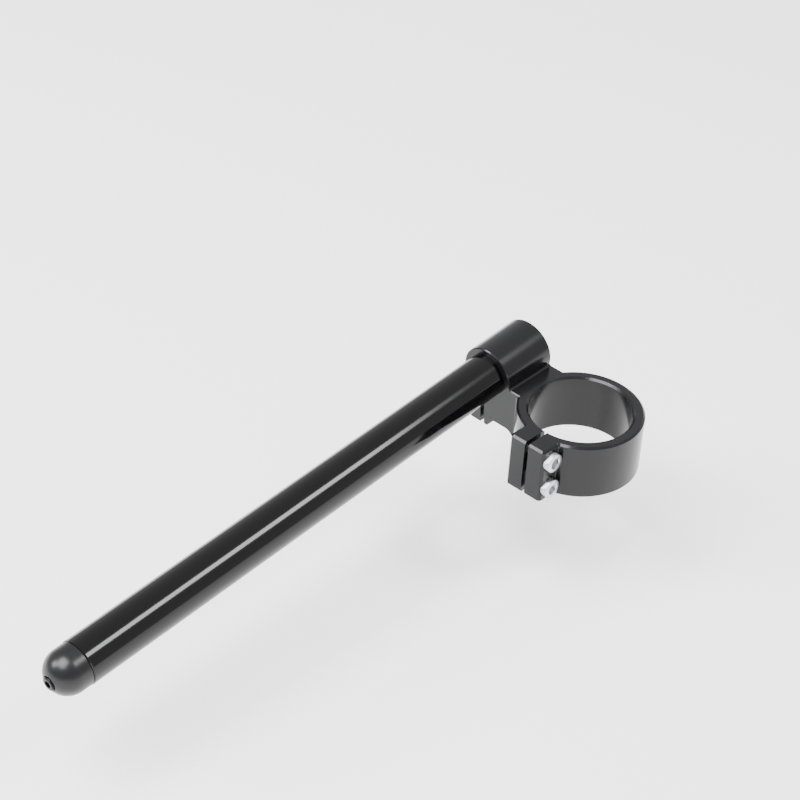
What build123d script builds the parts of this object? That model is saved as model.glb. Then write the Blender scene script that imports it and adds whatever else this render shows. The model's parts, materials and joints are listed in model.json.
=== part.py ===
from build123d import *
import math
import os

os.makedirs("parts", exist_ok=True)

# Clip-on handlebar for one side of a motorcycle, in millimetres.
# Z is the fork tube's axis, the origin is on it halfway up the clamp ring,
# and +X points towards the grip end of the bar.

# Fork ring
fork_diameter = 51.0
ring_wall = 5.55
ring_height = 30.0
rim_chamfer = 1.0

# Pinch ears of the fork ring
ear_length = 8.8
ear_half_width = 10.65
ear_corner_chamfer = 1.35
ear_root_fillet = 1.0
pinch_slot = 2.2

# Bar tube. Its axis passes beside the ring and above the ring's top face.
# Its reach is measured along the bar from the fork's centre plane to the cap.
bar_diameter = 22.2
bar_wall = 3.0
bar_reach = 273.9
bar_rise = 3.2
bar_droop = 5.0
bar_seat_step = 0.2
bar_seat_neck = 0.1
bar_fit = 0.02
bar_inset = 0.8
bar_edge = 0.4

# Bar sleeve, measured along the bar from the fork's centre plane
sleeve_wall = 3.4
sleeve_gap = 2.35
sleeve_inner_face = -16.65
sleeve_outer_face = 14.5
sleeve_edge = 0.5
bore_edge = 0.2
sleeve_fillet = 1.2

# Web between sleeve and ring, with the pinch ears under the sleeve
web_fillet = 2.9
bar_ear_inset = 3.4
bar_ear_corner = 1.45
bar_slit = 2.3
bar_slit_offset = 2.6
bar_lip = 2.2
recess_overlap = 0.3
recess_height = 4.95
recess_small_radius = 2.7
recess_large_radius = 4.8

# Pinch screws, M6 socket head
screw_diameter = 6.0
screw_head_diameter = 10.0
screw_head_height = 6.0
screw_key = 5.0
screw_key_depth = 3.0
screw_head_edge = 0.6
screw_tip_chamfer = 0.6
screw_clearance = 0.3
thread_clearance = 0.02
head_clearance = 0.35
pocket_depth = 3.1

fork_screw_end_distance = 5.8
fork_screw_edge_distance = 7.35
fork_screw_length = 16.0

bar_screw_height = 11.6
bar_screw_spacing = 15.5
bar_screw_length = 20.0
bar_screw_tap_extra = 2.5

# End cap, a little smaller than the tube
cap_step = 0.3
cap_skirt = 5.6
cap_edge = 0.4
cap_spigot_length = 4.0
cap_spigot_clearance = 0.5
cap_spigot_edge = 0.5

# Rubber expander that holds the cap in the tube, and the nut that squeezes it
expander_length = 12.0
expander_fit = 0.02
expander_edge = 0.8
cap_nut_clearance = 0.6
cap_nut_height = 5.0
cap_nut_edge = 0.5

# Cap screw, M4 socket head, standing a little proud of the dome
cap_screw_diameter = 4.0
cap_screw_head_diameter = 7.0
cap_screw_head_height = 4.0
cap_screw_key = 3.0
cap_screw_key_depth = 2.0
cap_screw_length = 35.0
cap_screw_proud = 0.2
cap_screw_clearance = 0.25
cap_head_clearance = 0.2

# Values that follow from the ones above
ring_top = ring_height / 2
ring_bottom = -ring_height / 2
fork_radius = fork_diameter / 2
ring_radius = fork_radius + ring_wall
bar_radius = bar_diameter / 2
sleeve_radius = bar_radius + sleeve_wall
pocket_radius = screw_head_diameter / 2 + head_clearance
screw_radius = screw_diameter / 2
tap_radius = screw_radius + thread_clearance
drill_radius = screw_radius + screw_clearance
bar_seat_radius = bar_radius - bar_seat_step
bore_radius = bar_seat_radius + bar_fit
bar_hole_radius = bar_radius - bar_wall

bar_axis_y = -ring_radius - sleeve_gap - sleeve_radius
bar_axis_z = ring_top + bar_rise
bar_ear_outer_y = bar_axis_y - sleeve_radius + bar_ear_inset
bar_slit_y = bar_axis_y - bar_slit_offset
recess_inner_y = bar_slit_y + bar_slit / 2 + bar_lip
recess_outer_y = -ring_radius + recess_overlap
cap_radius = bar_radius - cap_step
bar_tip = bar_reach + cap_skirt + cap_radius
cap_hole_radius = cap_screw_diameter / 2 + cap_screw_clearance
cap_tap_radius = cap_screw_diameter / 2 + thread_clearance
cap_pocket_radius = cap_screw_head_diameter / 2 + cap_head_clearance
cap_screw_seat = bar_tip + cap_screw_proud - cap_screw_head_height
expander_start = bar_reach - cap_spigot_length - expander_length
cap_nut_start = expander_start - cap_nut_height
cap_nut_radius = bar_hole_radius - cap_nut_clearance

ear_end_x = ring_radius + ear_length
fork_screw_x = ear_end_x - fork_screw_end_distance
fork_screw_z = ring_top - fork_screw_edge_distance
fork_seat_y = ear_half_width - pocket_depth
bar_seat_y = bar_ear_outer_y + pocket_depth
bar_screw_drop = bar_axis_z - ring_bottom - bar_screw_height
sleeve_middle = (sleeve_inner_face + sleeve_outer_face) / 2

droop = math.radians(bar_droop)
along = Vector(math.cos(droop), 0, -math.sin(droop))
upward = Vector(math.sin(droop), 0, math.cos(droop))
bar_centre = Vector(0, bar_axis_y, bar_axis_z)

# Planes square to the bar at a distance along it. Their X axis points to +Y.
bar_x_dir = (0, 1, 0)
inner_face_plane = Plane(bar_centre + along * sleeve_inner_face, x_dir=bar_x_dir, z_dir=along)
outer_face_plane = Plane(bar_centre + along * sleeve_outer_face, x_dir=bar_x_dir, z_dir=along)
bar_start_plane = Plane(bar_centre + along * (sleeve_inner_face + bar_inset), x_dir=bar_x_dir, z_dir=along)
cap_plane = Plane(bar_centre + along * bar_reach, x_dir=along, z_dir=(0, -1, 0))
cap_seat_plane = Plane(bar_centre + along * cap_screw_seat, x_dir=bar_x_dir, z_dir=along)
expander_plane = Plane(bar_centre + along * expander_start, x_dir=bar_x_dir, z_dir=along)
cap_nut_plane = Plane(bar_centre + along * cap_nut_start, x_dir=bar_x_dir, z_dir=along)

# Web block with the bar sleeve on it, cut square to the bar at both ends
with BuildPart() as bracket:
    with BuildSketch(Plane.YZ.offset(-2 * sleeve_radius)) as web_section:
        with BuildLine() as web_line:
            Polyline(
                (bar_ear_outer_y + bar_ear_corner, ring_bottom),
                (bar_ear_outer_y, ring_bottom + bar_ear_corner),
                (bar_ear_outer_y, ring_top),
                (-fork_radius / 2, ring_top),
                (-fork_radius / 2, ring_bottom),
                close=True,
            )
        make_face()
    extrude(amount=4 * sleeve_radius)
    split(bisect_by=inner_face_plane, keep=Keep.TOP)
    split(bisect_by=outer_face_plane, keep=Keep.BOTTOM)
    with BuildSketch(inner_face_plane) as sleeve_section:
        Circle(sleeve_radius)
    extrude(amount=sleeve_outer_face - sleeve_inner_face)
    sleeve_foot = (
        bracket.edges()
        .filter_by(lambda e: abs(e.center().Z - ring_top) < 0.01)
        .filter_by(lambda e: e.length > sleeve_radius)
        .filter_by(lambda e: bar_axis_y < e.center().Y < -fork_radius - 1)
    )
    fillet(sleeve_foot, radius=sleeve_fillet)

# Clamp body: fork ring, its pinch ears, the web and the sleeve are one machined piece
with BuildPart() as clamp_body:
    with BuildSketch(Plane.XY.offset(ring_bottom)) as ring_plan:
        Circle(ring_radius)
        with Locations((ear_end_x / 2, 0)):
            Rectangle(ear_end_x, 2 * ear_half_width)
        ear_corners = ring_plan.vertices().group_by(Axis.X)[-1]
        chamfer(ear_corners, length=ear_corner_chamfer)
    extrude(amount=ring_height)
    ear_roots = (
        clamp_body.edges()
        .filter_by(Axis.Z)
        .filter_by(lambda e: ring_radius - 3 < e.center().X < ring_radius)
    )
    fillet(ear_roots, radius=ear_root_fillet)

    # Bevel round the outside of the ring and ears, top and bottom
    top_rim = clamp_body.edges().group_by(Axis.Z)[-1]
    bottom_rim = clamp_body.edges().group_by(Axis.Z)[0]
    chamfer(top_rim + bottom_rim, length=rim_chamfer)
    add(bracket.part)

    # Hole for the fork tube
    with BuildSketch(Plane.XY.offset(ring_bottom)) as fork_hole:
        Circle(fork_radius)
    extrude(amount=ring_height, mode=Mode.SUBTRACT)

    # Rounded inside corners where the web meets the ring
    web_corners = (
        clamp_body.edges()
        .filter_by(lambda e: ring_height - 3 * rim_chamfer < e.length < ring_height)
        .filter_by(lambda e: -ring_radius < e.center().Y < -fork_radius + 3)
        .filter_by(lambda e: abs(e.center().X) < web_fillet - sleeve_inner_face)
    )
    fillet(web_corners, radius=web_fillet)

    # Bevel at both mouths of the fork hole
    bore_rims = (
        clamp_body.edges()
        .filter_by(GeomType.CIRCLE)
        .filter_by(lambda e: abs(e.radius - fork_radius) < 0.01)
    )
    chamfer(bore_rims, length=rim_chamfer)

    # Bore of the sleeve
    with BuildSketch(inner_face_plane) as bar_hole:
        Circle(bore_radius)
    extrude(amount=sleeve_outer_face - sleeve_inner_face, mode=Mode.SUBTRACT)

    # Bevels on the sleeve's rims and at the bore's mouths
    sleeve_circles = (
        clamp_body.edges()
        .filter_by(GeomType.CIRCLE)
        .filter_by(lambda e: abs(e.center(CenterOf.BOUNDING_BOX).Y - bar_axis_y) < sleeve_radius)
    )
    chamfer(sleeve_circles.filter_by(lambda e: abs(e.radius - bore_radius) < 0.01), length=bore_edge)
    sleeve_rims = (
        clamp_body.edges()
        .filter_by(GeomType.CIRCLE)
        .filter_by(lambda e: abs(e.center(CenterOf.BOUNDING_BOX).Y - bar_axis_y) < sleeve_radius)
        .filter_by(lambda e: abs(e.radius - sleeve_radius) < 0.01)
    )
    chamfer(sleeve_rims, length=sleeve_edge)

    # Recess across the underside of the web
    with BuildSketch(Plane.YZ.offset(-2 * sleeve_radius)) as recess_section:
        with Locations(((recess_inner_y + recess_outer_y) / 2, ring_bottom)):
            Rectangle(recess_outer_y - recess_inner_y, 2 * recess_height)
        roof_corners = recess_section.vertices().group_by(Axis.Z)[-1].sort_by(Axis.Y)
        fillet(roof_corners[0], radius=recess_small_radius)
        large_corner = recess_section.vertices().group_by(Axis.Z)[-1].sort_by(Axis.Y)[-1]
        fillet(large_corner, radius=recess_large_radius)
    extrude(amount=4 * sleeve_radius, mode=Mode.SUBTRACT)

    # Slit that lets the sleeve close on the bar
    with BuildSketch(Plane.YZ.offset(-2 * sleeve_radius)) as slit_section:
        with Locations((bar_slit_y, bar_axis_z - ring_height)):
            Rectangle(bar_slit, 2 * ring_height)
    extrude(amount=4 * sleeve_radius, mode=Mode.SUBTRACT)

    # Slot between the fork ears
    with BuildSketch(Plane.XY.offset(ring_bottom)) as slot_section:
        with Locations(((fork_radius + ear_end_x) / 2, 0)):
            Rectangle(ear_end_x, pinch_slot)
    extrude(amount=ring_height, mode=Mode.SUBTRACT)

    # Screw holes of the fork ears: pocket, clearance hole, tapped hole
    for screw_z in (-fork_screw_z, fork_screw_z):
        with BuildSketch(Plane((fork_screw_x, fork_seat_y, screw_z), z_dir=(0, 1, 0))) as fork_pocket:
            Circle(pocket_radius)
        extrude(amount=2 * pocket_radius, mode=Mode.SUBTRACT)
        with BuildSketch(Plane((fork_screw_x, fork_seat_y, screw_z), z_dir=(0, -1, 0))) as fork_drill:
            Circle(drill_radius)
        extrude(amount=fork_seat_y, mode=Mode.SUBTRACT)
        with BuildSketch(Plane((fork_screw_x, 0, screw_z), z_dir=(0, -1, 0))) as fork_tap:
            Circle(tap_radius)
        extrude(amount=ear_half_width, mode=Mode.SUBTRACT)

    # Screw holes of the bar ears, in a row along the bar
    for side in (-1, 1):
        screw_station = sleeve_middle + side * bar_screw_spacing / 2
        screw_point = bar_centre + along * screw_station - upward * bar_screw_drop
        with BuildSketch(Plane((screw_point.X, bar_seat_y, screw_point.Z), z_dir=(0, -1, 0))) as bar_pocket:
            Circle(pocket_radius)
        extrude(amount=2 * pocket_depth, mode=Mode.SUBTRACT)
        with BuildSketch(Plane((screw_point.X, bar_seat_y, screw_point.Z), z_dir=(0, 1, 0))) as bar_drill:
            Circle(drill_radius)
        extrude(amount=bar_slit_y - bar_seat_y, mode=Mode.SUBTRACT)
        with BuildSketch(Plane((screw_point.X, bar_slit_y, screw_point.Z), z_dir=(0, 1, 0))) as bar_tap:
            Circle(tap_radius)
        extrude(amount=bar_seat_y + bar_screw_length + bar_screw_tap_extra - bar_slit_y, mode=Mode.SUBTRACT)

clamp_body.part.label = "clamp_body"
export_step(clamp_body.part, "parts/clamp_body.step")

# Bar tube: a turned seat in the sleeve at one end, the cap in its other end
with BuildPart() as bar_tube:
    with BuildSketch(bar_start_plane) as tube_section:
        Circle(bar_radius)
        Circle(bar_hole_radius, mode=Mode.SUBTRACT)
    extrude(amount=bar_reach - sleeve_inner_face - bar_inset)
    with BuildSketch(bar_start_plane) as seat_relief:
        Circle(bar_diameter)
        Circle(bar_seat_radius, mode=Mode.SUBTRACT)
    extrude(amount=sleeve_outer_face + bar_seat_neck - sleeve_inner_face - bar_inset, mode=Mode.SUBTRACT)
    tube_ends = bar_tube.edges().filter_by(GeomType.CIRCLE).group_by(Axis.X)
    chamfer(tube_ends[0] + tube_ends[-1], length=bar_edge)

bar_tube.part.label = "bar_tube"
export_step(bar_tube.part, "parts/bar_tube.step")

# End cap: a domed plug turned about the bar's axis, with a short spigot in the tube
spigot_radius = bar_hole_radius - cap_spigot_clearance
cap_seat = cap_screw_seat - bar_reach
dome_end = cap_skirt + math.sqrt(cap_radius**2 - cap_pocket_radius**2)
with BuildPart() as end_cap:
    with BuildSketch(cap_plane) as cap_section:
        with BuildLine() as cap_line:
            Polyline(
                (dome_end, cap_pocket_radius),
                (cap_seat, cap_pocket_radius),
                (cap_seat, cap_hole_radius),
                (-cap_spigot_length, cap_hole_radius),
                (-cap_spigot_length, spigot_radius - cap_spigot_edge),
                (-cap_spigot_length + cap_spigot_edge, spigot_radius),
                (0, spigot_radius),
                (0, cap_radius - cap_edge),
                (cap_edge, cap_radius),
                (cap_skirt, cap_radius),
            )
            RadiusArc((cap_skirt, cap_radius), (dome_end, cap_pocket_radius), cap_radius)
        make_face()
    revolve(axis=Axis(bar_centre, along))

end_cap.part.label = "end_cap"
export_step(end_cap.part, "parts/end_cap.step")

# Expander: a rubber sleeve in the tube behind the cap's spigot
with BuildPart() as cap_expander:
    with BuildSketch(expander_plane) as expander_section:
        Circle(bar_hole_radius - expander_fit)
        Circle(cap_hole_radius, mode=Mode.SUBTRACT)
    extrude(amount=expander_length)
    expander_rims = (
        cap_expander.edges().filter_by(GeomType.CIRCLE).filter_by(lambda e: e.radius > cap_hole_radius + 1)
    )
    chamfer(expander_rims, length=expander_edge)

cap_expander.part.label = "cap_expander"
export_step(cap_expander.part, "parts/cap_expander.step")

# Round nut behind the expander
with BuildPart() as cap_nut:
    with BuildSketch(cap_nut_plane) as nut_section:
        Circle(cap_nut_radius)
        Circle(cap_tap_radius, mode=Mode.SUBTRACT)
    extrude(amount=cap_nut_height)
    nut_rims = cap_nut.edges().filter_by(GeomType.CIRCLE).filter_by(lambda e: e.radius > cap_tap_radius + 1)
    chamfer(nut_rims, length=cap_nut_edge)

cap_nut.part.label = "cap_nut"
export_step(cap_nut.part, "parts/cap_nut.step")


def socket_screw(seat, length, shank_diameter, head_diameter, head_height, key, key_depth):
    # Socket-head screw on its seat plane: the head stands up from it, the shank goes down
    with BuildPart() as screw:
        with BuildSketch(seat) as head_section:
            Circle(head_diameter / 2)
        extrude(amount=head_height)
        head_rim = screw.edges().filter_by(GeomType.CIRCLE).sort_by_distance(seat.origin)[-1]
        fillet(head_rim, radius=screw_head_edge)
        with BuildSketch(seat.offset(head_height)) as key_section:
            RegularPolygon(radius=key / 2, side_count=6, major_radius=False)
        extrude(amount=-key_depth, mode=Mode.SUBTRACT)
        with BuildSketch(seat) as shank_section:
            Circle(shank_diameter / 2)
        extrude(amount=-length)
        shank_tip = screw.edges().filter_by(GeomType.CIRCLE).sort_by_distance(seat.origin)[-1]
        chamfer(shank_tip, length=screw_tip_chamfer)
    return screw


cap_screw = socket_screw(
    cap_seat_plane,
    cap_screw_length,
    cap_screw_diameter,
    cap_screw_head_diameter,
    cap_screw_head_height,
    cap_screw_key,
    cap_screw_key_depth,
)
cap_screw.part.label = "cap_screw"
export_step(cap_screw.part, "parts/cap_screw.step")

pinch_screw_sizes = (screw_diameter, screw_head_diameter, screw_head_height, screw_key, screw_key_depth)

# Two screws through the fork ears and two through the bar ears
for number, side in enumerate((1, -1), start=1):
    fork_seat = Plane((fork_screw_x, fork_seat_y, side * fork_screw_z), z_dir=(0, 1, 0))
    fork_screw = socket_screw(fork_seat, fork_screw_length, *pinch_screw_sizes)
    fork_screw.part.label = f"fork_screw_{number}"
    export_step(fork_screw.part, f"parts/fork_screw_{number}.step")

    bar_station = sleeve_middle + side * bar_screw_spacing / 2
    bar_point = bar_centre + along * bar_station - upward * bar_screw_drop
    bar_seat = Plane((bar_point.X, bar_seat_y, bar_point.Z), z_dir=(0, -1, 0))
    bar_screw = socket_screw(bar_seat, bar_screw_length, *pinch_screw_sizes)
    bar_screw.part.label = f"bar_screw_{number}"
    export_step(bar_screw.part, f"parts/bar_screw_{number}.step")
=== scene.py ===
import json
import math
import bpy
from mathutils import Matrix, Vector


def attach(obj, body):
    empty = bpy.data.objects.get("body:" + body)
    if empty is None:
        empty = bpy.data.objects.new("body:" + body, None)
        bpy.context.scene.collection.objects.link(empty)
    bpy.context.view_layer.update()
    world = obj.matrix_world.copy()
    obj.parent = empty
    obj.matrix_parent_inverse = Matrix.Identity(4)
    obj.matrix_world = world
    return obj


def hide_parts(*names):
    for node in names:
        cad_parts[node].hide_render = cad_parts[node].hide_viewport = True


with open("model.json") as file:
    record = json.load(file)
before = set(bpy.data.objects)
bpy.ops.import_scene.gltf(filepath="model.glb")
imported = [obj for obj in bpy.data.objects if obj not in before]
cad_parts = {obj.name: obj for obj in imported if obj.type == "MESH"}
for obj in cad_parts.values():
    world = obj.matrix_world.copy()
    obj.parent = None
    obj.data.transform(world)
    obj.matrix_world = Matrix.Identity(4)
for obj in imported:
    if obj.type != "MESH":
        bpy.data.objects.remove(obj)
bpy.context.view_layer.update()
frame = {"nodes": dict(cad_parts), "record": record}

# Clip-on handlebar for one side of a motorcycle. Sizes are in millimetres and
# placed in metres. Z is the fork tube's axis and +X points to the grip end.

MM = 0.001

# The bar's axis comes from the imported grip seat; distances along it start at
# the fork's centre plane.
grip_seat = next(mount for mount in frame["record"]["mounts"] if mount["name"] == "grip_seat")
BAR_AXIS = Vector(grip_seat["axis"]).normalized()
BAR_MIDDLE = Vector(grip_seat["pos_m"])
BAR_CENTRE = BAR_MIDDLE - BAR_AXIS * (BAR_MIDDLE.x / BAR_AXIS.x)

# Tube
BAR_RADIUS = 11.1
BAR_HOLE_RADIUS = 8.1
BAR_SEAT_RADIUS = 10.9
BAR_START = -15.85
BAR_NECK = 14.6
BAR_NECK_EDGE = 0.08
BAR_REACH = 273.9
BAR_EDGE = 0.4
BAR_SEGMENTS = 160

# End cap
CAP_RADIUS = 10.8
CAP_SKIRT = 5.6
CAP_EDGE = 0.4
CAP_SPIGOT_RADIUS = 7.6
CAP_SPIGOT_LENGTH = 4.0
CAP_SPIGOT_EDGE = 0.5
CAP_HOLE_RADIUS = 2.25
CAP_POCKET_RADIUS = 3.7
CAP_POCKET_EDGE = 0.12
CAP_SEGMENTS = 128
CAP_DOME_STEPS = 40
CAP_TIP = BAR_REACH + CAP_SKIRT + CAP_RADIUS
CAP_SCREW_PROUD = 0.2
CAP_SCREW_HEAD = 4.0
CAP_SEAT = CAP_TIP + CAP_SCREW_PROUD - CAP_SCREW_HEAD

# Pinch screws: middle of the seat under each head
FORK_SCREW_X = 34.05
FORK_SCREW_Z = 7.65
FORK_SEAT_Y = 7.55
BAR_SEAT_Y = -55.9
BAR_SCREW_MIDDLE = -1.075
BAR_SCREW_SPACING = 15.5
BAR_SCREW_DROP = 21.6


def linear(hex_colour):
    """sRGB hex value to linear RGBA."""
    parts = [int(hex_colour[i:i + 2], 16) / 255 for i in (1, 3, 5)]
    return [c / 12.92 if c <= 0.04045 else ((c + 0.055) / 1.055) ** 2.4 for c in parts] + [1.0]


def add_node(tree, kind, settings=None, links=None):
    """Add a node with its settings, and link other nodes' outputs to its inputs."""
    node = tree.nodes.new(kind)
    for name, value in (settings or {}).items():
        if name in node.inputs:
            node.inputs[name].default_value = value
        else:
            setattr(node, name, value)
    for name, source in (links or {}).items():
        tree.links.new(source, node.inputs[name])
    return node


def surface(name, settings):
    """New material with one Principled shader on its output."""
    material = bpy.data.materials.new(name)
    material.use_nodes = True
    tree = material.node_tree
    tree.nodes.clear()
    shader = add_node(tree, "ShaderNodeBsdfPrincipled", settings)
    add_node(tree, "ShaderNodeOutputMaterial", None, {"Surface": shader.outputs["BSDF"]})
    return material, tree, shader


def grain(tree, shader, grain_mm, depth_mm, roughness_from, roughness_to):
    """Fine blasted or moulded grain: a little relief, and gloss that varies with it."""
    place = add_node(tree, "ShaderNodeTexCoord")
    fine = add_node(
        tree, "ShaderNodeTexNoise", {"Scale": 1 / (grain_mm * MM), "Detail": 2.0},
        {"Vector": place.outputs["Object"]},
    )
    relief = add_node(
        tree, "ShaderNodeBump", {"Strength": 1.0, "Distance": depth_mm * MM},
        {"Height": fine.outputs["Fac"]},
    )
    tree.links.new(relief.outputs["Normal"], shader.inputs["Normal"])
    gloss = add_node(
        tree, "ShaderNodeMapRange", {"To Min": roughness_from, "To Max": roughness_to},
        {"Value": fine.outputs["Fac"]},
    )
    tree.links.new(gloss.outputs["Result"], shader.inputs["Roughness"])


# Anodised aluminium, bead blasted before dyeing: the dyed oxide layer hides the
# metal, so it is a near-black surface under a clear satin skin. Beads of about
# 0.1 mm leave a grain too fine to show, so it is drawn at 0.4 mm. The black
# finishes have a low IOR: the pale floor shows only weakly in them.
clamp_finish, tree, shader = surface("satin_black_anodised", {
    "Base Color": linear("#0f0f11"), "IOR": 1.35,
})
grain(
    tree, shader, grain_mm=0.4, depth_mm=0.0008, roughness_from=0.16, roughness_to=0.22
)

# Anodised aluminium, polished before dyeing: blacker and glossier than the clamp
bar_finish, tree, shader = surface("gloss_black_anodised", {
    "Base Color": linear("#040405"), "IOR": 1.36,
})
grain(
    tree, shader, grain_mm=1.2, depth_mm=0.0002, roughness_from=0.1, roughness_to=0.14
)

# Turned acetal: black through and through, with a soft sheen
cap_finish, tree, shader = surface("satin_black_acetal", {
    "Base Color": linear("#0a0a0c"), "IOR": 1.4,
})
grain(
    tree, shader, grain_mm=0.5, depth_mm=0.0006, roughness_from=0.28, roughness_to=0.35
)

# Zinc-plated steel: bright, slightly cloudy plating
screw_finish, tree, shader = surface("bright_zinc_plated_steel", {
    "Base Color": linear("#c9cbd0"), "Metallic": 1.0,
})
grain(
    tree, shader, grain_mm=0.5, depth_mm=0.002, roughness_from=0.2, roughness_to=0.32
)

# Black oxide steel: a thin black skin on metal
black_steel, tree, shader = surface("black_oxide_steel", {
    "Base Color": linear("#1c1c1f"), "Metallic": 1.0,
})
grain(
    tree, shader, grain_mm=0.4, depth_mm=0.001, roughness_from=0.3, roughness_to=0.4
)

# Moulded rubber of the hidden expander
rubber, tree, shader = surface("moulded_black_rubber", {
    "Base Color": linear("#151515"), "IOR": 1.5,
})
grain(
    tree, shader, grain_mm=0.6, depth_mm=0.01, roughness_from=0.6, roughness_to=0.75
)


SAME_POINT = 0.001
SMOOTH_ANGLE = 30


def deselect():
    bpy.ops.object.select_all(action="DESELECT")


def activate(piece):
    deselect()
    piece.select_set(True)
    bpy.context.view_layer.objects.active = piece


def turned(name, outline, segments):
    """Piece turned about Z from an outline of (radius, distance) points."""
    deselect()
    radius, distance = outline[0]
    bpy.ops.mesh.primitive_circle_add(
        vertices=segments, radius=radius * MM, location=(0, 0, distance * MM)
    )
    piece = bpy.context.object
    piece.name = name
    bpy.ops.object.mode_set(mode="EDIT")
    bpy.ops.mesh.select_all(action="SELECT")
    for next_radius, next_distance in outline[1:]:
        step = (next_distance - distance) * MM
        bpy.ops.mesh.extrude_region_move(TRANSFORM_OT_translate={"value": (0, 0, step)})
        scale = next_radius / radius
        middle = (0, 0, next_distance * MM)
        bpy.ops.transform.resize(value=(scale, scale, 1), center_override=middle)
        radius, distance = next_radius, next_distance
    close_up()
    bpy.ops.object.mode_set(mode="OBJECT")
    bpy.ops.object.transform_apply(location=True, rotation=True, scale=True)
    return piece


def close_up():
    """In edit mode: merge doubles, fill open ends and turn all faces outwards."""
    bpy.ops.mesh.select_all(action="SELECT")
    bpy.ops.mesh.remove_doubles(threshold=SAME_POINT * MM)
    bpy.ops.mesh.fill_holes(sides=0)
    bpy.ops.mesh.select_all(action="SELECT")
    bpy.ops.mesh.normals_make_consistent(inside=False)


def put(piece, place):
    """Move a piece to its place and leave its origin at the frame's origin."""
    activate(piece)
    piece.matrix_world = place
    bpy.ops.object.transform_apply(location=True, rotation=True, scale=True)


def finish_piece(piece, material, node, angle=SMOOTH_ANGLE):
    """Shade a piece, give it its finish and set it in the place of its CAD node."""
    activate(piece)
    bpy.ops.object.shade_smooth_by_angle(angle=math.radians(angle))
    piece.data.materials.clear()
    piece.data.materials.append(material)
    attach(piece, "root")
    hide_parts(node)


def placed_along(origin, z_axis, x_axis):
    """Placement with Z along one direction and X near another."""
    z = z_axis.normalized()
    y = z.cross(x_axis).normalized()
    x = y.cross(z)
    rotation = Matrix((x, y, z)).transposed().to_4x4()
    return Matrix.Translation(origin) @ rotation


def bar_place(distance):
    """Placement on the bar's axis, with Z towards the grip end."""
    return placed_along(BAR_CENTRE + BAR_AXIS * distance * MM, BAR_AXIS, Vector((0, 1, 0)))


def subtract(piece, cutter):
    """Cut one closed piece out of another."""
    activate(piece)
    cut = piece.modifiers.new("cut", "BOOLEAN")
    cut.operation = "DIFFERENCE"
    cut.solver = "EXACT"
    cut.object = cutter
    bpy.ops.object.modifier_apply(modifier=cut.name)
    bpy.data.objects.remove(cutter)


# Clamp body: the machined solid's own faces, with each sharp edge broken as a
# deburring tool leaves it
CLAMP_EDGE_BREAK = 0.18
CLAMP_SAME_POINT = 0.002
CLAMP_FLAT_ANGLE = 0.5
CLAMP_SHARP_ANGLE = 25
CLAMP_SMOOTH_ANGLE = 22


def make_clamp():
    deselect()
    source = frame["nodes"]["clamp_body"]
    clamp = bpy.data.objects.new("clamp_body_machined", source.data.copy())
    bpy.context.scene.collection.objects.link(clamp)
    clamp.matrix_world = source.matrix_world
    activate(clamp)
    bpy.ops.object.mode_set(mode="EDIT")
    bpy.ops.mesh.select_all(action="SELECT")
    bpy.ops.mesh.remove_doubles(threshold=CLAMP_SAME_POINT * MM)
    bpy.ops.mesh.dissolve_limited(angle_limit=math.radians(CLAMP_FLAT_ANGLE))
    bpy.ops.mesh.customdata_custom_splitnormals_clear()
    bpy.ops.object.mode_set(mode="OBJECT")
    bevel = clamp.modifiers.new("edge break", "BEVEL")
    bevel.width = CLAMP_EDGE_BREAK * MM
    bevel.segments = 2
    bevel.limit_method = "ANGLE"
    bevel.angle_limit = math.radians(CLAMP_SHARP_ANGLE)
    bevel.use_clamp_overlap = True
    bevel.miter_outer = "MITER_ARC"
    bpy.ops.object.modifier_apply(modifier=bevel.name)
    finish_piece(clamp, clamp_finish, "clamp_body", CLAMP_SMOOTH_ANGLE)
    weighted = clamp.modifiers.new("flat faces", "WEIGHTED_NORMAL")
    weighted.keep_sharp = True
    bpy.ops.object.modifier_apply(modifier=weighted.name)


def make_tube():
    outline = [
        (BAR_HOLE_RADIUS + BAR_EDGE, BAR_START),
        (BAR_SEAT_RADIUS - BAR_EDGE, BAR_START),
        (BAR_SEAT_RADIUS, BAR_START + BAR_EDGE),
        (BAR_SEAT_RADIUS, BAR_NECK),
        (BAR_RADIUS - BAR_NECK_EDGE, BAR_NECK),
        (BAR_RADIUS, BAR_NECK + BAR_NECK_EDGE),
        (BAR_RADIUS, BAR_REACH - BAR_EDGE),
        (BAR_RADIUS - BAR_EDGE, BAR_REACH),
        (BAR_HOLE_RADIUS + BAR_EDGE, BAR_REACH),
        (BAR_HOLE_RADIUS, BAR_REACH - BAR_EDGE),
        (BAR_HOLE_RADIUS, BAR_START + BAR_EDGE),
        (BAR_HOLE_RADIUS + BAR_EDGE, BAR_START),
    ]
    tube = turned("bar_tube_turned", outline, BAR_SEGMENTS)
    put(tube, bar_place(0))
    finish_piece(tube, bar_finish, "bar_tube")


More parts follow.
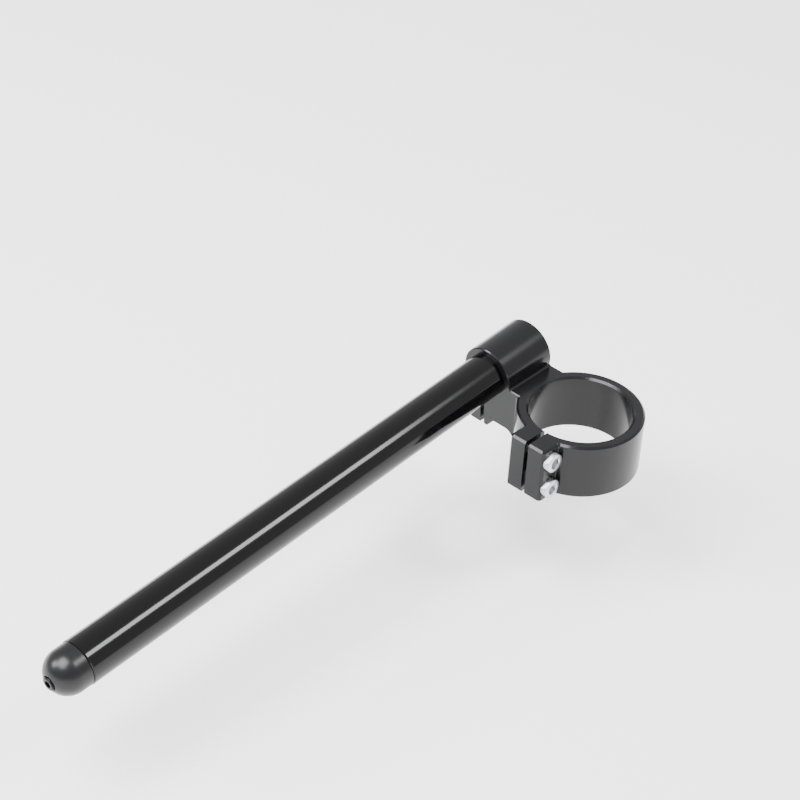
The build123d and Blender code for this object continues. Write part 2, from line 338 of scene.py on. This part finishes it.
def make_cap():
    lip_radius = CAP_POCKET_RADIUS + CAP_POCKET_EDGE
    dome_sweep = math.acos(lip_radius / CAP_RADIUS)
    dome_start = BAR_REACH + CAP_SKIRT
    dome = [
        (CAP_RADIUS * math.cos(dome_sweep * i / CAP_DOME_STEPS),
         dome_start + CAP_RADIUS * math.sin(dome_sweep * i / CAP_DOME_STEPS))
        for i in range(CAP_DOME_STEPS + 1)
    ]
    spigot_end = BAR_REACH - CAP_SPIGOT_LENGTH
    outline = [
        (CAP_HOLE_RADIUS, spigot_end),
        (CAP_SPIGOT_RADIUS - CAP_SPIGOT_EDGE, spigot_end),
        (CAP_SPIGOT_RADIUS, spigot_end + CAP_SPIGOT_EDGE),
        (CAP_SPIGOT_RADIUS, BAR_REACH),
        (CAP_RADIUS - CAP_EDGE, BAR_REACH),
        (CAP_RADIUS, BAR_REACH + CAP_EDGE),
        *dome,
        (CAP_POCKET_RADIUS, dome[-1][1] - CAP_POCKET_EDGE / 2),
        (CAP_POCKET_RADIUS, CAP_SEAT),
        (CAP_HOLE_RADIUS, CAP_SEAT),
        (CAP_HOLE_RADIUS, spigot_end),
    ]
    cap = turned("end_cap_turned", outline, CAP_SEGMENTS)
    put(cap, bar_place(0))
    finish_piece(cap, cap_finish, "end_cap")


# Threads: half of the ridge's flat side as a share of the pitch, how far the
# profile stays inside the shank's radius, and steps in each turn
THREAD_HALF_SIDE = 0.49
THREAD_ALLOWANCE = 0.02
THREAD_STEPS = 28


def thread_ridge(radius, pitch, start, length):
    """Triangular ridge, flat side out, wound down from a start height."""
    deselect()
    corner = THREAD_HALF_SIDE * pitch / math.cos(math.radians(30))
    turns = max(1, round(length / pitch) - 1)
    centre = ((radius - corner) * MM, 0, (start - pitch / 2) * MM)
    bpy.ops.mesh.primitive_circle_add(
        vertices=3, radius=corner * MM, location=centre, rotation=(math.radians(90), 0, 0)
    )
    ridge = bpy.context.object
    bpy.ops.object.transform_apply(location=True, rotation=True, scale=True)
    turn_profile(ridge, centre)
    wind = ridge.modifiers.new("wind", "SCREW")
    wind.axis = "Z"
    wind.steps = wind.render_steps = THREAD_STEPS
    wind.iterations = turns
    wind.screw_offset = -pitch * MM
    activate(ridge)
    bpy.ops.object.modifier_apply(modifier=wind.name)
    bpy.ops.object.mode_set(mode="EDIT")
    close_up()
    bpy.ops.object.mode_set(mode="OBJECT")
    return ridge


def turn_profile(ridge, centre):
    """Turn the triangle so that one flat side faces away from the screw's axis."""
    activate(ridge)
    bpy.ops.object.mode_set(mode="EDIT")
    bpy.ops.mesh.select_all(action="SELECT")
    bpy.ops.transform.rotate(value=math.radians(90), orient_axis="Y", center_override=centre)
    bpy.ops.object.mode_set(mode="OBJECT")


# Depth of the thread as a share of the pitch
THREAD_DEPTH = 0.61

# Knurled head: two of the four columns of points in each ridge are sunk
KNURL_START = 0.4
KNURL_BELOW_TOP = 0.75
KNURL_MARGIN = 0.01
KNURL_DEPTH = 0.13
COLUMNS_IN_RIDGE = 4

# Lead-in of the socket: a 45 degree cone that reaches past the hexagon's
# corners and a little above the head
LEAD_IN_PAST = 0.35
LEAD_IN_POINT = 0.1
LEAD_IN_RISE = 0.25
LEAD_IN_SEGMENTS = 48


def make_socket_screw(
    name, diameter, head_diameter, head_height, key, key_depth, pitch, length, ridges
):
    """Socket-head screw with a knurled head on z = 0 and its shank below."""
    head = head_diameter / 2
    core = diameter / 2 - THREAD_DEPTH * pitch
    shank = diameter / 2
    knurl_top = head_height - KNURL_BELOW_TOP
    outline = [
        # bevelled end, threaded core and its run-out to the full shank
        (core - 0.45 * pitch, -length),
        (core, -length + 0.5 * pitch),
        (core, -1.2 * pitch),
        (shank, -0.7 * pitch),
        (shank, -0.05),
        # bearing face, its broken edge, and the knurled side
        (head - 0.45, 0.0),
        (head - 0.25, 0.2),
        (head, 0.45),
        (head, knurl_top),
        # rounded top edge
        (head - 0.06, knurl_top + 0.2),
        (head - 0.22, head_height - 0.22),
        (head - 0.5, head_height - 0.05),
        (head - 0.8, head_height),
    ]
    columns = COLUMNS_IN_RIDGE * ridges
    screw = turned(name, outline, columns)
    knurl_low, knurl_high = KNURL_START * MM, (knurl_top + KNURL_MARGIN) * MM
    activate(screw)
    for vertex in screw.data.vertices:
        turn = math.atan2(vertex.co.y, vertex.co.x) / (2 * math.pi)
        column = round(turn * columns) % COLUMNS_IN_RIDGE
        vertex.select = column in (0, 1) and knurl_low < vertex.co.z < knurl_high
    for edge in screw.data.edges:
        edge.select = False
    for face in screw.data.polygons:
        face.select = False
    bpy.ops.object.mode_set(mode="EDIT")
    bpy.context.tool_settings.mesh_select_mode = (True, False, False)
    groove = 1 - KNURL_DEPTH / head
    bpy.ops.transform.resize(value=(groove, groove, 1), center_override=(0, 0, 0))
    bpy.ops.object.mode_set(mode="OBJECT")

    deselect()
    corner = key / 2 / math.cos(math.radians(30))
    bpy.ops.mesh.primitive_cylinder_add(
        vertices=6, radius=corner * MM, depth=2 * key_depth * MM,
        location=(0, 0, head_height * MM),
    )
    subtract(screw, bpy.context.object)
    deselect()
    cone_radius = corner + LEAD_IN_PAST
    cone_height = cone_radius - LEAD_IN_POINT
    cone_middle = head_height + LEAD_IN_RISE - cone_height / 2
    bpy.ops.mesh.primitive_cone_add(
        vertices=LEAD_IN_SEGMENTS, radius1=LEAD_IN_POINT * MM,
        radius2=cone_radius * MM, depth=cone_height * MM,
        location=(0, 0, cone_middle * MM),
    )
    subtract(screw, bpy.context.object)
    ridge = thread_ridge(shank - THREAD_ALLOWANCE, pitch, -pitch, length - pitch)
    deselect()
    ridge.select_set(True)
    screw.select_set(True)
    bpy.context.view_layer.objects.active = screw
    bpy.ops.object.join()
    return screw


# Pinch screws are M6; the one in the cap is M4
M6_SIZES = dict(
    diameter=6.0, head_diameter=10.0, head_height=6.0, key=5.0, key_depth=3.0, pitch=1.0, ridges=36
)
M4_SIZES = dict(
    diameter=4.0, head_diameter=7.0, head_height=CAP_SCREW_HEAD, key=3.0, key_depth=2.0,
    pitch=0.7, ridges=30,
)
FORK_SCREW_LENGTH = 16.0
BAR_SCREW_LENGTH = 20.0
CAP_SCREW_LENGTH = 35.0


def make_pinch_screws():
    upward = Vector((-BAR_AXIS.z, 0, BAR_AXIS.x))
    for number, side in enumerate((1, -1), start=1):
        fork_screw = make_socket_screw(
            f"fork_screw_{number}_threaded", length=FORK_SCREW_LENGTH, **M6_SIZES
        )
        seat = Vector((FORK_SCREW_X, FORK_SEAT_Y, side * FORK_SCREW_Z)) * MM
        # Each pair of sockets stands at its own angle, as tightening leaves it
        turn = Vector((1, 0, 0.35 + 0.9 * number))
        put(fork_screw, placed_along(seat, Vector((0, 1, 0)), turn))
        finish_piece(fork_screw, screw_finish, f"fork_screw_{number}")

        bar_screw = make_socket_screw(
            f"bar_screw_{number}_threaded", length=BAR_SCREW_LENGTH, **M6_SIZES
        )
        station = BAR_SCREW_MIDDLE + side * BAR_SCREW_SPACING / 2
        point = BAR_CENTRE + (BAR_AXIS * station - upward * BAR_SCREW_DROP) * MM
        seat = Vector((point.x, BAR_SEAT_Y * MM, point.z))
        put(bar_screw, placed_along(seat, Vector((0, -1, 0)), turn))
        finish_piece(bar_screw, screw_finish, f"bar_screw_{number}")


def make_cap_screw():
    cap_screw = make_socket_screw("cap_screw_threaded", length=CAP_SCREW_LENGTH, **M4_SIZES)
    put(cap_screw, bar_place(CAP_SEAT))
    finish_piece(cap_screw, black_steel, "cap_screw")


make_clamp()
make_tube()
make_cap()
make_pinch_screws()
make_cap_screw()

# The hidden expander and its nut keep their solids
for node_name, material in (("cap_expander", rubber), ("cap_nut", screw_finish)):
    for slot in frame["nodes"][node_name].material_slots:
        slot.material = material

# Pale floor, low enough that the shadow on it is soft and faint
FLOOR_Z = -70.0
FLOOR_WIDTH_M = 12.0
deselect()
bpy.ops.mesh.primitive_plane_add(size=FLOOR_WIDTH_M, location=(0, 0, FLOOR_Z * MM))
floor = bpy.context.object
floor.name = "floor"
bpy.ops.object.transform_apply(location=True, rotation=True, scale=True)
floor_paint, tree, shader = surface("pale_floor", {
    "Base Color": linear("#f7f7f7"), "Roughness": 0.9,
})
floor.data.materials.append(floor_paint)

# Even, rather dim surroundings
SURROUNDINGS_RADIANCE = 1.1
world = bpy.data.worlds.new("studio")
world.use_nodes = True
background = world.node_tree.nodes["Background"]
background.inputs["Color"].default_value = linear("#ffffff")
background.inputs["Strength"].default_value = SURROUNDINGS_RADIANCE
bpy.context.scene.world = world


def add_soft_box(name, direction, distance, width, height, radiance):
    """Rectangular soft box that faces the bar, its width along it, sizes in metres.

    The radiance is what a mirror would see.
    """
    light = bpy.data.lights.new(name, "AREA")
    light.shape = "RECTANGLE"
    light.size = width
    light.size_y = height
    light.energy = radiance * math.pi * width * height
    lamp = bpy.data.objects.new(name, light)
    away = Vector(direction).normalized()
    lamp.matrix_world = placed_along(BAR_MIDDLE + away * distance, away, BAR_AXIS)
    bpy.context.scene.collection.objects.link(lamp)


# The overhead box lights the floor, the high one behind the clamp makes the
# streak along the bar, and the low one beyond the grip end lights the bevels
# that face it
add_soft_box(
    "overhead_soft_box", (0.45, -0.1, 1), distance=2.2, width=1.5, height=1.5, radiance=19.5
)
add_soft_box(
    "high_soft_box", (-0.371, 0.490, 0.789), distance=3.2, width=0.9, height=0.85, radiance=27.0
)
add_soft_box(
    "low_soft_box", (0.64, -0.52, 0.56), distance=2.0, width=0.6, height=0.6, radiance=25.0
)

# Camera: place, direction and lens fitted to the photograph's 800 x 800 frame
CAMERA_RIGHT = Vector((-0.68515, 0.726775, 0.048653))
CAMERA_UP = Vector((-0.407888, -0.438151, 0.801031))
CAMERA_PLACE = Vector((694.61, 493.21, 643.76)) * MM
camera_data = bpy.data.cameras.new("camera")
camera_data.lens = 98.97
camera_data.sensor_width = 36.0
camera_data.clip_start = 0.01
camera_data.clip_end = 50.0
camera = bpy.data.objects.new("camera", camera_data)
camera_back = CAMERA_RIGHT.cross(CAMERA_UP)
camera_turn = Matrix((CAMERA_RIGHT, CAMERA_UP, camera_back)).transposed().to_4x4()
camera.matrix_world = Matrix.Translation(CAMERA_PLACE) @ camera_turn
bpy.context.scene.collection.objects.link(camera)
bpy.context.scene.camera = camera
